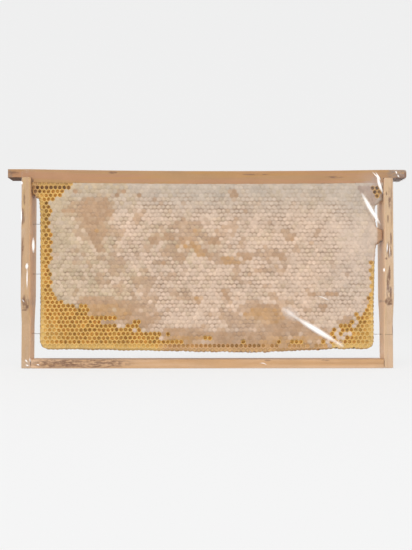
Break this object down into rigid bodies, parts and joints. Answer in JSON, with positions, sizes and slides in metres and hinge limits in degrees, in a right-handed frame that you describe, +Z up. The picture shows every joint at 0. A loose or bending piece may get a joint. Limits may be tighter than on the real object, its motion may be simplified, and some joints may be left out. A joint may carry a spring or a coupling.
{
  "type": "honeycomb frame",
  "caption": "Wooden hive frame filled with capped honeycomb, wrapped in clear film and standing on its bottom bar.",
  "frame": {"origin": "on the surface that the frame stands on, under the middle of its bottom bar", "axes": "+X along the top bar, -Y towards the shown side, +Z up"},
  "size_m": [0.4707, 0.0384, 0.2349],
  "materials": {
    "frame_wood": "planed softwood, bare, slightly waxy",
    "comb_wax": "beeswax cappings over honey, golden where the cells are open",
    "steel_wire": "thin tinned wire",
    "clear_film": "clear stretched film with a few glossy creases"
  },
  "bodies": {
    "root": {"top_bar": "frame_wood", "end_bar_left": "frame_wood", "end_bar_right": "frame_wood", "bottom_bar": "frame_wood", "comb": "comb_wax", "wire_left_upper": "steel_wire", "wire_left_middle": "steel_wire", "wire_left_lower": "steel_wire", "wire_right_lower": "steel_wire", "film": "clear_film", "film_lug": "clear_film"}
  },
  "joints": []
}
